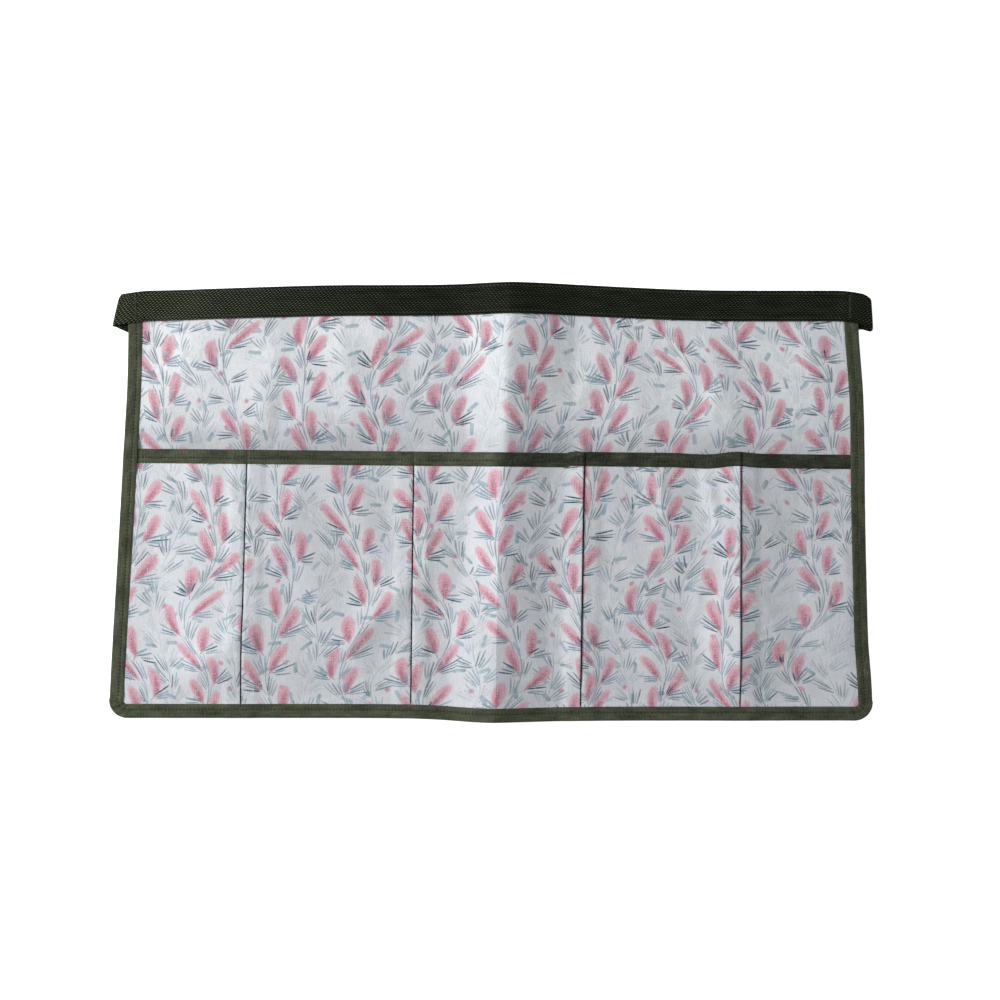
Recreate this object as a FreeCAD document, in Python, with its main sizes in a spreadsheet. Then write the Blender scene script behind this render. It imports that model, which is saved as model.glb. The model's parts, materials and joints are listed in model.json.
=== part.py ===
import FreeCAD, Part

import math
import os

import Sketcher

# A half waist apron for garden tools, lying on its back with its pockets up. Millimetres.
# X runs along the belt, Y from the bottom hem up to the belt, and Z up from the surface it lies on.
# The canvas lies flat at the hem and climbs a little above the pockets, where the two waist straps
# are folded away behind it. A raised bay in the panel leaves room for the buckle and the keeper.

DIMENSIONS = {
    # the sheet goods
    "canvas": 0.8,
    "tape": 0.6,
    "tape_width": 11,
    "webbing": 1.5,
    "belt_width": 25,
    "thread": 0.5,
    "thread_width": 0.8,
    # the outline, to the outer edges of the binding
    "apron_height": 352,
    "top_width": 600,
    "bottom_width": 623,
    "corner_radius": 10,
    "panel_climb": 3.5,
    "climb_length": 22,
    # the pockets
    "mouth_drop": 135,
    "pocket_rise": 5,
    "pocket_shoulder": 12,
    "pocket_gap": 2.2,
    "hem_gap": 0.6,
    "clearance": 0.35,
    "pleat_depth": 14,
    "mouth_stitch_inset": 3,
    "divider_one": -203,
    "divider_two": -65.5,
    "divider_three": 74,
    "divider_four": 203.5,
    # the bay over the buckle and the keeper
    "bay_left": -252,
    "bay_right": 45,
    "bay_bottom": 70,
    "bay_top": 144.5,
    "bay_shoulder": 10,
    "bay_shoulder_across": 6,
    "bay_ceiling": 8.9,
    # the belt's folds
    "fold_left": 308,
    "fold_right": 310.6,
    "skew_left": 3,
    "skew_right": 0.9,
    "stitch_inset": 2.5,
    "binding_stitch_inset": 4,
    "tack_length": 18,
    "tack_width": 2,
    "tack_inset": 5,
    # the straps
    "strap_level": 1.6,
    "left_strap_length": 100,
    "right_strap_length": 425,
    "left_tail": 28,
    "right_tail": 150,
    "layer_gap": 0.2,
    "loop_flat": 4,
    "loop_run": 16,
    "strap_lead": 5,
    "left_sewn_length": 8,
    "right_sewn_length": 5,
    # the buckle and the keeper
    "bar_radius": 1.5,
    "buckle_width": 33,
    "buckle_thickness": 8.4,
    "buckle_wall": 1.5,
    "side_wall": 3.1,
    "buckle_round": 1.2,
    "arm_low": 3,
    "arm_high": 6.9,
    "socket_start": 8,
    "socket_end": 40,
    "plug_start": 6,
    "plug_end": 17,
    "guide_tip": 46,
    "guide_width": 5,
    "guide_thickness": 3,
    "cavity_start": 12,
    "window_start": 18,
    "window_end": 31,
    "prong_thickness": 4.6,
    "prong_gap": 0.5,
    "prong_inside": 7.8,
    "prong_root_out": 11.3,
    "prong_neck": 14.5,
    "prong_neck_out": 12.2,
    "catch_near": 16,
    "catch_far": 21,
    "catch_out": 15.8,
    "prong_nose": 27.5,
    "prong_nose_out": 11,
    "prong_tip": 28.5,
    "prong_tip_out": 9,
    "prong_arm": 26,
    "prong_round": 0.6,
    "keeper_back": 45,
    "keeper_length": 12,
    "keeper_width": 31,
    "keeper_height": 6.4,
    "keeper_wall": 1.2,
    "keeper_side_wall": 1.8,
    "keeper_round": 0.9,
}

# how far a shape that cuts or joins runs past the place where it is needed
REACH = 1

doc = FreeCAD.newDocument("garden_apron")
sheet = doc.addObject("Spreadsheet::Sheet", "dims")
for row, (alias, number) in enumerate(DIMENSIONS.items(), start=1):
    sheet.set(f"A{row}", alias.replace("_", " "))
    sheet.set(f"B{row}", str(number))
    sheet.setAlias(f"B{row}", alias)
doc.recompute()


class Size:
    """A length known both as a number and as the expression that binds it to the sheet."""

    def __init__(self, number, text):
        self.number = number
        self.text = text

    def __add__(self, other):
        other = size(other)
        return Size(self.number + other.number, f"({self.text} + {other.text})")

    def __sub__(self, other):
        other = size(other)
        return Size(self.number - other.number, f"({self.text} - {other.text})")

    def __mul__(self, other):
        other = size(other)
        return Size(self.number * other.number, f"({self.text} * {other.text})")

    def __truediv__(self, other):
        other = size(other)
        return Size(self.number / other.number, f"({self.text} / {other.text})")

    def __radd__(self, other):
        return size(other) + self

    def __rsub__(self, other):
        return size(other) - self

    def __rmul__(self, other):
        return size(other) * self

    def __neg__(self):
        return size(0) - self


def size(value):
    """A plain number as a Size; a Size stays as it is."""
    return value if isinstance(value, Size) else Size(float(value), f"({value})")


def dim(alias):
    """The sheet's cell with this alias."""
    return Size(float(sheet.get(alias)), f"dims.{alias}")


canvas = dim("canvas")
tape = dim("tape")
tape_width = dim("tape_width")
webbing = dim("webbing")
belt_width = dim("belt_width")
thread = dim("thread")
half_thread = dim("thread_width") / 2
half_height = dim("apron_height") / 2
half_top = dim("top_width") / 2
half_bottom = dim("bottom_width") / 2
climb = dim("panel_climb")
mouth_line = half_height - dim("mouth_drop")
climb_line = mouth_line + dim("climb_length")
belt_low = half_height - belt_width
belt_middle = half_height - belt_width / 2
panel_top = tape + canvas
belt_seat = tape + climb + canvas
binding_top = 2 * tape + canvas
shoulder = dim("pocket_shoulder")
rise = dim("pocket_rise")
foot_level = tape + 2 * canvas + dim("clearance")
roof_level = foot_level + rise
pocket_low = tape_width + dim("hem_gap") - half_height
pocket_high = mouth_line - tape
divider_lines = [dim("divider_" + word) for word in ("one", "two", "three", "four")]

nodes = []


def side_line(y):
    """The half width of the apron, out to the binding's outer edge, at the height y."""
    slope = (half_bottom - half_top) / (2 * half_height)
    return half_top + slope * (half_height - y)


def new_body(name, part=True):
    body = doc.addObject("PartDesign::Body", name)
    body.Label = name
    if part:
        nodes.append(body)
    return body


def new_sketch(body, name, role, offset):
    """An empty sketch on one of the body's own origin planes, moved along its normal by offset."""
    sketch = body.newObject("Sketcher::SketchObject", name)
    origin_plane = next(f for f in body.Origin.OriginFeatures if f.Role == role)
    sketch.AttachmentSupport = [(origin_plane, "")]
    sketch.MapMode = "FlatFace"
    if offset is not None:
        sketch.AttachmentOffset.Base.z = size(offset).number
        sketch.setExpression("AttachmentOffset.Base.z", size(offset).text)
    return sketch


def bind(sketch, kind, edge, end, value):
    number = sketch.addConstraint(Sketcher.Constraint(kind, edge, end, value.number))
    sketch.setExpression(f"Constraints[{number}]", value.text)


def outline(body, name, role, corners, offset=None, half_turns=()):
    """A closed outline through the corners. half_turns holds (edge, sense): that edge is a half
    circle, anticlockwise for sense 1 and clockwise for sense -1; every other edge is straight."""
    sketch = new_sketch(body, name, role, offset)
    corners = [(size(x), size(y)) for x, y in corners]
    points = [FreeCAD.Vector(x.number, y.number, 0) for x, y in corners]
    senses = dict(half_turns)
    count = len(points)
    ends = []
    for i, here in enumerate(points):
        there = points[(i + 1) % count]
        if i in senses:
            first = here if senses[i] > 0 else there
            middle = (here + there) / 2
            circle = Part.Circle(middle, FreeCAD.Vector(0, 0, 1), here.distanceToPoint(there) / 2)
            start = math.atan2(first.y - middle.y, first.x - middle.x)
            sketch.addGeometry(Part.ArcOfCircle(circle, start, start + math.pi), False)
            ends.append((1, 2) if senses[i] > 0 else (2, 1))
        else:
            sketch.addGeometry(Part.LineSegment(here, there), False)
            ends.append((1, 2))
    for i in range(count):
        following = (i + 1) % count
        sketch.addConstraint(
            Sketcher.Constraint("Coincident", i, ends[i][1], following, ends[following][0])
        )
    for i, (x, y) in enumerate(corners):
        bind(sketch, "DistanceX", i, ends[i][0], x)
        bind(sketch, "DistanceY", i, ends[i][0], y)
    for i in senses:
        x_here, x_there = corners[i][0], corners[(i + 1) % count][0]
        bind(sketch, "DistanceX", i, 3, (x_here + x_there) / 2)
    return sketch


def rectangle(low_x, low_y, high_x, high_y):
    return [(low_x, low_y), (high_x, low_y), (high_x, high_y), (low_x, high_y)]


def pad(body, profile, length, symmetric=False):
    feature = body.newObject("PartDesign::Pad", profile.Name + "_pad")
    feature.Profile = profile
    feature.SideType = "Symmetric" if symmetric else "One side"
    feature.setExpression("Length", size(length).text)
    return feature


def cut_through(body, profile):
    feature = body.newObject("PartDesign::Pocket", profile.Name + "_cut")
    feature.Profile = profile
    feature.Type = "ThroughAll"
    feature.SideType = "Symmetric"
    return feature


def hollow(body, profile, depth):
    """A pocket that starts at the sketch and goes up from it."""
    feature = body.newObject("PartDesign::Pocket", profile.Name + "_hollow")
    feature.Profile = profile
    feature.Reversed = True
    feature.setExpression("Length", size(depth).text)
    return feature


def taper(body, name, kind, low, low_level, high, high_level):
    """A loft, added or taken away, between an outline at one level and an outline above it."""
    lower = outline(body, name + "_low", "XY_Plane", low, low_level)
    upper = outline(body, name + "_high", "XY_Plane", high, high_level)
    feature = body.newObject("PartDesign::" + kind, name)
    feature.Profile = lower
    feature.Sections = [upper]
    feature.Ruled = True
    return feature


def round_edges(body, base, radius, chosen):
    """A fillet on the edges of the base feature that chosen picks."""
    doc.recompute()
    names = [f"Edge{i}" for i, edge in enumerate(base.Shape.Edges, start=1) if chosen(edge)]
    feature = body.newObject("PartDesign::Fillet", base.Name + "_round")
    feature.Base = (base, names)
    feature.setExpression("Radius", size(radius).text)
    return feature


def is_upright(edge):
    first, last = edge.Vertexes[0].Point, edge.Vertexes[-1].Point
    return abs(first.z - last.z) > 0.1 and math.hypot(first.x - last.x, first.y - last.y) < 0.01


def is_bottom_corner(edge):
    return is_upright(edge) and edge.Vertexes[0].Point.y < REACH - half_height.number


def flat_piece(name, corners, level, thickness, part=True):
    body = new_body(name, part)
    pad(body, outline(body, name + "_plan", "XY_Plane", corners, level), thickness)
    return body


def climbing_piece(name, corners, level, thickness, part=True, corner_radius=None):
    """A flat piece at the level along the hem that climbs with the panel past the mouths."""
    body = new_body(name, part)
    plan = outline(body, name + "_plan", "XY_Plane", corners)
    blank = pad(body, plan, size(level) + thickness + climb)
    if corner_radius is not None:
        round_edges(body, blank, corner_radius, is_bottom_corner)
    low, high = size(level), size(level) + thickness
    beyond = half_height + REACH
    above = [
        (-beyond, high),
        (mouth_line, high),
        (climb_line, high + climb),
        (climb_line, high + climb + REACH),
        (-beyond, high + climb + REACH),
    ]
    below = [
        (-beyond, low),
        (mouth_line, low),
        (climb_line, low + climb),
        (beyond, low + climb),
        (beyond, size(-REACH)),
        (-beyond, size(-REACH)),
    ]
    cut_through(body, outline(body, name + "_above", "YZ_Plane", above))
    cut_through(body, outline(body, name + "_below", "YZ_Plane", below))
    return body


def minus(name, blank, tool):
    """The blank with the tool's shape taken out of it."""
    feature = doc.addObject("Part::Cut", name)
    feature.Label = name
    feature.Base = blank
    feature.Tool = tool
    nodes.append(feature)
    return feature


# ---------------------------------------------------------------- the panel and its binding
def make_back_panel():
    corners = [
        (tape - half_bottom, tape - half_height),
        (half_bottom - tape, tape - half_height),
        (half_top - tape, half_height),
        (tape - half_top, half_height),
    ]
    radius = dim("corner_radius") - tape
    panel = climbing_piece("back_panel", corners, tape, canvas, corner_radius=radius)
    left, right = dim("bay_left"), dim("bay_right")
    bottom, top = dim("bay_bottom"), dim("bay_top")
    along, across = dim("bay_shoulder"), dim("bay_shoulder_across")
    underside = tape + climb
    ceiling = dim("bay_ceiling")
    base = rectangle(left - along, bottom - across, right + along, top + across)
    roof = rectangle(left, bottom, right, top)
    taper(panel, "bay_outside", "AdditiveLoft", base, underside, roof, ceiling + canvas)
    inner_base = rectangle(
        left - along + 2 * canvas,
        bottom - across + canvas,
        right + along - 2 * canvas,
        top + across - canvas,
    )
    taper(panel, "bay_inside", "SubtractiveLoft", inner_base, underside, roof, ceiling)
    return panel


def make_side_binding(name, side, panel):
    """side is -1 on the left and 1 on the right. The tape stops where the belt covers it."""
    low = tape_width - half_height
    corners = [
        (side * (side_line(low) - tape_width), low),
        (side * side_line(low), low),
        (side * side_line(belt_low), belt_low),
        (side * (side_line(belt_low) - tape_width), belt_low),
    ]
    blank = climbing_piece(name + "_blank", corners, 0, binding_top, part=False)
    minus(name, blank, panel)
    inset = dim("binding_stitch_inset") - tape_width
    row = [
        (side * (side_line(low) + inset - half_thread), low),
        (side * (side_line(low) + inset + half_thread), low),
        (side * (side_line(belt_low) + inset + half_thread), belt_low),
        (side * (side_line(belt_low) + inset - half_thread), belt_low),
    ]
    climbing_piece("stitching_" + name, row, binding_top, thread)


def make_bottom_binding(panel):
    top = tape_width - half_height
    corners = [
        (-half_bottom, -half_height),
        (half_bottom, -half_height),
        (side_line(top), top),
        (-side_line(top), top),
    ]
    blank = new_body("binding_bottom_blank", part=False)
    plan = outline(blank, "binding_bottom_plan", "XY_Plane", corners)
    round_edges(blank, pad(blank, plan, binding_top), dim("corner_radius"), is_bottom_corner)
    minus("binding_bottom", blank, panel)
    row_line = top - dim("binding_stitch_inset")
    reach = half_bottom - tape_width
    row = rectangle(-reach, row_line - half_thread, reach, row_line + half_thread)
    flat_piece("stitching_binding_bottom", row, binding_top, thread)


# ---------------------------------------------------------------- the belt
def make_belt():
    left, right = dim("fold_left"), dim("fold_right")
    left_skew, right_skew = dim("skew_left"), dim("skew_right")
    gap = dim("clearance")
    corners = [
        (gap - left - left_skew, belt_low),
        (right + right_skew - gap, belt_low),
        (right - right_skew - gap, half_height),
        (gap - left + left_skew, half_height),
    ]
    flat_piece("front_belt", corners, belt_seat, webbing)
    top = belt_seat + webbing
    reach = half_top - tape_width
    inset = dim("stitch_inset")
    for name, line in (("upper", half_height - inset), ("lower", belt_low + inset)):
        row = rectangle(-reach, line - half_thread, reach, line + half_thread)
        flat_piece("stitching_belt_" + name, row, top, thread)
    half_tack = dim("tack_length") / 2
    for name, side in (("left", -1), ("right", 1)):
        inner = side * (half_top - dim("tack_inset"))
        outer = inner + side * dim("tack_width")
        low_x, high_x = (outer, inner) if side < 0 else (inner, outer)
        tack = rectangle(low_x, belt_middle - half_tack, high_x, belt_middle + half_tack)
        flat_piece("bar_tack_" + name, tack, top, thread)


# ---------------------------------------------------------------- the dividers and the pockets
def make_divider(number, line):
    """The folded-under canvas behind two pocket fronts, and the row of thread that holds it."""
    depth = dim("pleat_depth")
    low, high = tape_width - half_height, mouth_line - tape_width
    fold = rectangle(line - depth, low, line + depth, high)
    flat_piece(f"pleat_{number}", fold, panel_top, canvas)
    row = rectangle(line - half_thread, low + REACH, line + half_thread, high)
    flat_piece(f"divider_seam_{number}", row, panel_top + canvas, thread)


def pocket_plan(left, right, low, high, outset):
    """The four corners of a pocket's plan. left and right give its sides at a height y."""
    return [
        (left(low) - outset, low),
        (right(low) + outset, low),
        (right(high) + outset, high),
        (left(high) - outset, high),
    ]


def make_pocket(number, left, right):
    """A shallow tray of canvas, open underneath and at its mouth, with the tape over its mouth."""
    run = shoulder / rise
    beyond = pocket_high + REACH
    front = new_body(f"pocket_front_{number}")

    def tray(body, name, kind, lift, low, high, wall_low):
        """The tray's outer form moved up by lift, from the foot level to the roof."""
        out = run * lift
        base = pocket_plan(left, right, low - (out if wall_low else 0), high, out)
        roof_low = low + (shoulder if wall_low else 0)
        roof = pocket_plan(left, right, roof_low, high, -shoulder)
        taper(body, name, kind, base, foot_level, roof, roof_level + lift)

    prefix = f"pocket_{number}"
    tray(front, prefix + "_outside", "AdditiveLoft", size(0), pocket_low, pocket_high, True)
    tray(front, prefix + "_inside", "SubtractiveLoft", -canvas, pocket_low, beyond, True)

    blank = new_body(f"mouth_binding_{number}_blank", part=False)
    low, high = mouth_line - tape_width, mouth_line
    prefix = f"mouth_{number}"
    tray(blank, prefix + "_outside", "AdditiveLoft", tape, low, high, False)
    low, high, lift = low - REACH, high + REACH, -(canvas + tape)
    tray(blank, prefix + "_inside", "SubtractiveLoft", lift, low, high, False)
    minus(f"mouth_binding_{number}", blank, front)

    line = mouth_line - tape_width + dim("mouth_stitch_inset")
    start, end = left(line) + shoulder + REACH, right(line) - shoulder - REACH
    row = rectangle(start, line - half_thread, end, line + half_thread)
    flat_piece(f"stitching_mouth_{number}", row, roof_level + tape, thread)


def make_pockets():
    gap = dim("pocket_gap")
    edge = tape_width + dim("hem_gap")
    lefts = [lambda y: edge - side_line(y)]
    rights = []
    for line in divider_lines:
        rights.append(lambda y, line=line: line - gap)
        lefts.append(lambda y, line=line: line + gap)
    rights.append(lambda y: side_line(y) - edge)
    for number, (left, right) in enumerate(zip(lefts, rights), start=1):
        make_pocket(number, left, right)


# ---------------------------------------------------------------- the straps
# Each strap is drawn straight, in a frame of its own: x from the belt's fold along the strap, y
# across it and z up. The frame is then turned about the fold to where the strap lies at rest.
def fold_angle(skew):
    return math.degrees(math.atan2(2 * dim(skew).number, belt_width.number))


def strap_place(fold_x, degrees):
    return FreeCAD.Placement(
        FreeCAD.Vector(fold_x, belt_middle.number, 0),
        FreeCAD.Rotation(FreeCAD.Vector(0, 0, 1), degrees),
    )


left_place = strap_place(-dim("fold_left").number, -2 * fold_angle("skew_left"))
right_place = strap_place(dim("fold_right").number, 180 + 2 * fold_angle("skew_right"))

strap_level = dim("strap_level")
bar_radius = dim("bar_radius")
loop_inner = bar_radius + dim("clearance")
loop_outer = loop_inner + webbing
bar_level = strap_level + loop_outer
tail_level = strap_level + webbing + dim("layer_gap")


def make_strap(name, place, length, tail, skew, lean):
    """Webbing that runs out to the buckle's bar, round it, and back over itself for its tail.
    lean is -1 where the fold's upper end is the nearer one, and 1 where it is the farther one."""
    flat, run = length - dim("loop_flat"), length - dim("loop_run")
    start, end = -dim("strap_lead"), length - tail
    side_view = [
        (start, strap_level),
        (length, strap_level),
        (length, bar_level + loop_outer),
        (flat, bar_level + loop_outer),
        (run, tail_level + webbing),
        (end, tail_level + webbing),
        (end, tail_level),
        (run, tail_level),
        (flat, bar_level + loop_inner),
        (length, bar_level + loop_inner),
        (length, strap_level + webbing),
        (start, strap_level + webbing),
    ]
    body = new_body(name)
    turns = [(1, 1), (9, -1)]
    profile = outline(body, name + "_side", "XZ_Plane", side_view, half_turns=turns)
    pad(body, profile, belt_width, symmetric=True)
    reach = belt_width / 2 + REACH
    slant = skew * reach / (belt_width / 2)
    gap = dim("clearance")
    trim = [
        (start - REACH, -reach),
        (gap - lean * slant, -reach),
        (gap + lean * slant, reach),
        (start - REACH, reach),
    ]
    cut_through(body, outline(body, name + "_fold_cut", "XY_Plane", trim))
    body.Placement = place


def make_strap_stitching(name, place, start, end):
    half = belt_width / 2 - dim("stitch_inset")
    row = rectangle(start, -half, end, half)
    flat_piece(name, row, tail_level + webbing, thread).Placement = place


def make_bar(body, name, length):
    """The round bar that the webbing goes round, and the two arms that hold it."""
    half = dim("buckle_width") / 2
    profile = new_sketch(body, name + "_bar", "XZ_Plane", None)
    centre = FreeCAD.Vector(length.number, bar_level.number, 0)
    circle = Part.Circle(centre, FreeCAD.Vector(0, 0, 1), bar_radius.number)
    profile.addGeometry(circle, False)
    bind(profile, "DistanceX", 0, 3, length)
    bind(profile, "DistanceY", 0, 3, bar_level)
    radius = profile.addConstraint(Sketcher.Constraint("Radius", 0, bar_radius.number))
    profile.setExpression(f"Constraints[{radius}]", bar_radius.text)
    pad(body, profile, 2 * half - REACH, symmetric=True)
    inner = half - dim("side_wall")
    low, high = dim("arm_low"), dim("arm_high")
    for word, near, far in (("one", -half, -inner), ("two", inner, half)):
        arm = rectangle(length - bar_radius, near, length + dim("socket_start") + REACH, far)
        pad(body, outline(body, f"{name}_arm_{word}", "XY_Plane", arm, low), high - low)


def make_socket(length, place):
    """The socket: a flat housing with a mouth at its far end and a window in each side."""
    body = new_body("buckle_socket")
    half = dim("buckle_width") / 2
    wall, side_wall = dim("buckle_wall"), dim("side_wall")
    start, end = length + dim("socket_start"), length + dim("socket_end")
    thickness = dim("buckle_thickness")
    plan = outline(body, "socket_plan", "XY_Plane", rectangle(start, -half, end, half))
    round_edges(body, pad(body, plan, thickness), dim("buckle_round"), lambda edge: True)
    make_bar(body, "socket", length)
    depth = thickness - 2 * wall
    inner = half - side_wall
    cavity = rectangle(length + dim("cavity_start"), -inner, end + REACH, inner)
    hollow(body, outline(body, "socket_cavity", "XY_Plane", cavity, wall), depth)
    window_start, window_end = length + dim("window_start"), length + dim("window_end")
    window = rectangle(window_start, -half - REACH, window_end, half + REACH)
    hollow(body, outline(body, "socket_windows", "XY_Plane", window, wall), depth)
    body.Placement = place


def make_plug(length, place):
    """The plug: a block with a centre guide, and the two prongs, which are pieces of their own."""
    body = new_body("buckle_plug")
    half = dim("buckle_width") / 2
    start, end = length + dim("plug_start"), length + dim("plug_end")
    thickness = dim("buckle_thickness")
    plan = outline(body, "plug_plan", "XY_Plane", rectangle(start, -half, end, half))
    round_edges(body, pad(body, plan, thickness), dim("buckle_round"), lambda edge: True)
    make_bar(body, "plug", length)
    half_guide = dim("guide_width") / 2
    middle = thickness / 2
    guide = rectangle(end - REACH, -half_guide, length + dim("guide_tip"), half_guide)
    deep = dim("guide_thickness")
    pad(body, outline(body, "plug_guide", "XY_Plane", guide, middle - deep / 2), deep)
    body.Placement = place
    root = end + dim("prong_gap")
    prong_level = middle - dim("prong_thickness") / 2
    for name, side in (("left", 1), ("right", -1)):
        corners = [
            (root, side * dim("prong_inside")),
            (root + dim("prong_arm"), side * dim("prong_inside")),
            (root + dim("prong_tip"), side * dim("prong_tip_out")),
            (root + dim("prong_nose"), side * dim("prong_nose_out")),
            (root + dim("catch_far"), side * dim("catch_out")),
            (root + dim("catch_near"), side * dim("catch_out")),
            (root + dim("prong_neck"), side * dim("prong_neck_out")),
            (root, side * dim("prong_root_out")),
        ]
        prong = new_body("plug_prong_" + name)
        plan = outline(prong, f"prong_{name}_plan", "XY_Plane", corners, prong_level)
        blank = pad(prong, plan, dim("prong_thickness"))
        round_edges(prong, blank, dim("prong_round"), is_upright)
        prong.Placement = place


def make_keeper(length, place):
    """A closed loop round both layers of the right strap."""
    body = new_body("strap_keeper")
    start = length - dim("keeper_back") - dim("keeper_length") / 2
    half, height, wall = dim("keeper_width") / 2, dim("keeper_height"), dim("keeper_wall")
    frame = outline(body, "keeper_frame", "YZ_Plane", rectangle(-half, 0, half, height), start)
    blank = pad(body, frame, dim("keeper_length"))
    full_length = dim("keeper_length").number
    round_edges(body, blank, dim("keeper_round"), lambda edge: edge.Length > full_length - 0.1)
    side = dim("keeper_side_wall")
    opening = rectangle(side - half, wall, half - side, height - wall)
    cut_through(body, outline(body, "keeper_opening", "YZ_Plane", opening, start))
    body.Placement = place


back_panel = make_back_panel()
make_side_binding("binding_left", -1, back_panel)
make_side_binding("binding_right", 1, back_panel)
make_bottom_binding(back_panel)
make_belt()
for divider_number, divider_line in enumerate(divider_lines, start=1):
    make_divider(divider_number, divider_line)
make_pockets()

left_length, right_length = dim("left_strap_length"), dim("right_strap_length")
make_strap("left_strap", left_place, left_length, dim("left_tail"), dim("skew_left"), -1)
make_strap("right_strap", right_place, right_length, dim("right_tail"), dim("skew_right"), 1)
sewn_start = left_length - dim("left_tail") + REACH
sewn_end = sewn_start + dim("left_sewn_length")
make_strap_stitching("stitching_left_strap", left_place, sewn_start, sewn_end)
hem_start = right_length - dim("right_tail") + REACH
hem_end = hem_start + dim("right_sewn_length")
make_strap_stitching("stitching_right_strap", right_place, hem_start, hem_end)
make_socket(left_length, left_place)
make_plug(right_length, right_place)
make_keeper(right_length, right_place)

doc.recompute()
for item in doc.Objects:
    if "Invalid" in item.State or "Error" in item.State:
        raise RuntimeError(f"{item.Name} failed: {item.State}")
os.makedirs("parts", exist_ok=True)
for item in nodes:
    shape = item.Shape
    if shape.isNull() or not shape.isValid() or not shape.Solids:
        raise RuntimeError(f"{item.Label} has no valid solid")
    shape.exportStep(f"parts/{item.Label}.step")
    box = shape.BoundBox
    print(f"{item.Label}: {len(shape.Solids)} solid, {shape.Volume:.1f} mm3, "
          f"x {box.XMin:.1f} {box.XMax:.1f}, y {box.YMin:.1f} {box.YMax:.1f}, "
          f"z {box.ZMin:.2f} {box.ZMax:.2f}")
print(len(nodes), "nodes")
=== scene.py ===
import functools
import json
import math

import bmesh
import bpy
import numpy as np
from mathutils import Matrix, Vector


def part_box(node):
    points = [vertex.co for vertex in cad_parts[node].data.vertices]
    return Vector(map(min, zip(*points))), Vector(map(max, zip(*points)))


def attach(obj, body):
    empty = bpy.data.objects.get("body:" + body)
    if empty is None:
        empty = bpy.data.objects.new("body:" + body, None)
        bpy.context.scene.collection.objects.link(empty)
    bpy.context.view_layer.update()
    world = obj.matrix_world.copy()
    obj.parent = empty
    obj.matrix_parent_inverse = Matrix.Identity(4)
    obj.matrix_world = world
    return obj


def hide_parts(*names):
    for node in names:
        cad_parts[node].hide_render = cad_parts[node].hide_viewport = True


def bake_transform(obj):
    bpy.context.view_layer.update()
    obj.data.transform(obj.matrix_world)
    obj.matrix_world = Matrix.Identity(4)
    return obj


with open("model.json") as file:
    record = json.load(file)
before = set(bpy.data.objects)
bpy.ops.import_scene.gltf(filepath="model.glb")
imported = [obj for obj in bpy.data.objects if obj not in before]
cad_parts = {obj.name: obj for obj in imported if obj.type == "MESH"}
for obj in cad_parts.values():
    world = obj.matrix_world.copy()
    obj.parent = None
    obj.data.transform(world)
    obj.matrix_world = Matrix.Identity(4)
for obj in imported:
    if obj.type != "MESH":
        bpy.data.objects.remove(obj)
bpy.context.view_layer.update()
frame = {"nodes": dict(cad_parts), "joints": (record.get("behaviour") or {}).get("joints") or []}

# A half waist apron for garden tools, laid on its back with its pockets up. The script works in
# millimetres in the frame's own axes: X along the belt, Y from the hem to the belt, Z up.
MM = 0.001
# Thicknesses of the three cloths.
CANVAS, TAPE, WEBBING = 0.8, 0.6, 1.5
# The usual stitch, how far thread sinks in, and how far a row is from the webbing's edge.
STITCH_PITCH, STITCH_LENGTH, THREAD_WIDTH = 3.0, 2.3, 0.85
TAPE_SINK, WEBBING_SINK = 0.15, 0.1
SEAM_INSET = 2.5
# The gap between cloths that lie on each other, and under the lowest one.
CLOTH_GAP = 0.02


def box(node):
    """A node's lowest and highest corners."""
    low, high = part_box(node)
    return np.array(low) / MM, np.array(high) / MM


def joint(name):
    """A point on a joint's axis, and the axis."""
    found = next(j for j in frame["joints"] if j["name"] == name)
    return np.array(found["pos_m"]) / MM, np.array(found["axis"])


hem_low, hem_high = box("binding_bottom")
belt_low, belt_high = box("front_belt")
HALF_HEIGHT = -hem_low[1]
HALF_BOTTOM = hem_high[0]
SIDE_TAPER = 11.5
HALF_TOP = HALF_BOTTOM - SIDE_TAPER
TAPE_WIDTH = hem_high[1] - hem_low[1]
MOUTH = box("mouth_binding_1")[1][1]
CLIMB = belt_low[2] - TAPE - CANVAS
BELT_WIDTH = belt_high[1] - belt_low[1]
BELT_MIDDLE = (belt_high[1] + belt_low[1]) / 2
DIVIDERS = [sum(b[0] for b in box(f"divider_seam_{i}")) / 2 for i in (1, 2, 3, 4)]


# ---------------------------------------- curves and surfaces
def smooth(share):
    share = np.clip(share, 0, 1)
    return share * share * (3 - 2 * share)


def hill(x, centre, width):
    return np.exp(-(((x - centre) / width) ** 2) / 2)


def mix(a, b, share):
    return a + (b - a) * share


def height_share(y):
    """0 at the hem and 1 at the belt's upper edge."""
    return (y + HALF_HEIGHT) / (2 * HALF_HEIGHT)


def side_line(y):
    """Half the apron's width in the flat pattern, at the height y."""
    return mix(HALF_BOTTOM, HALF_TOP, height_share(y))


def belt_rise(x):
    """How far the belt lies above its straight line: highest near the middle, drooping at its ends."""
    peak = hill(x, 10, np.where(x < 10, 28, 60))
    rise, fall = smooth((x + 310) / 200), smooth((x - 20) / 180)
    ends = smooth((np.abs(x) - HALF_TOP + 18) / 28)
    return 4.9 * rise - 2.9 + 1.7 * peak - 4.6 * fall - 2.4 * ends


def hem_drop(x):
    """How far the hem lies below its straight line: more on the right, and most in the middle."""
    return 1 + 2.2 * smooth((x + 70) / 70) + hill(x, 0, 45)


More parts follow.
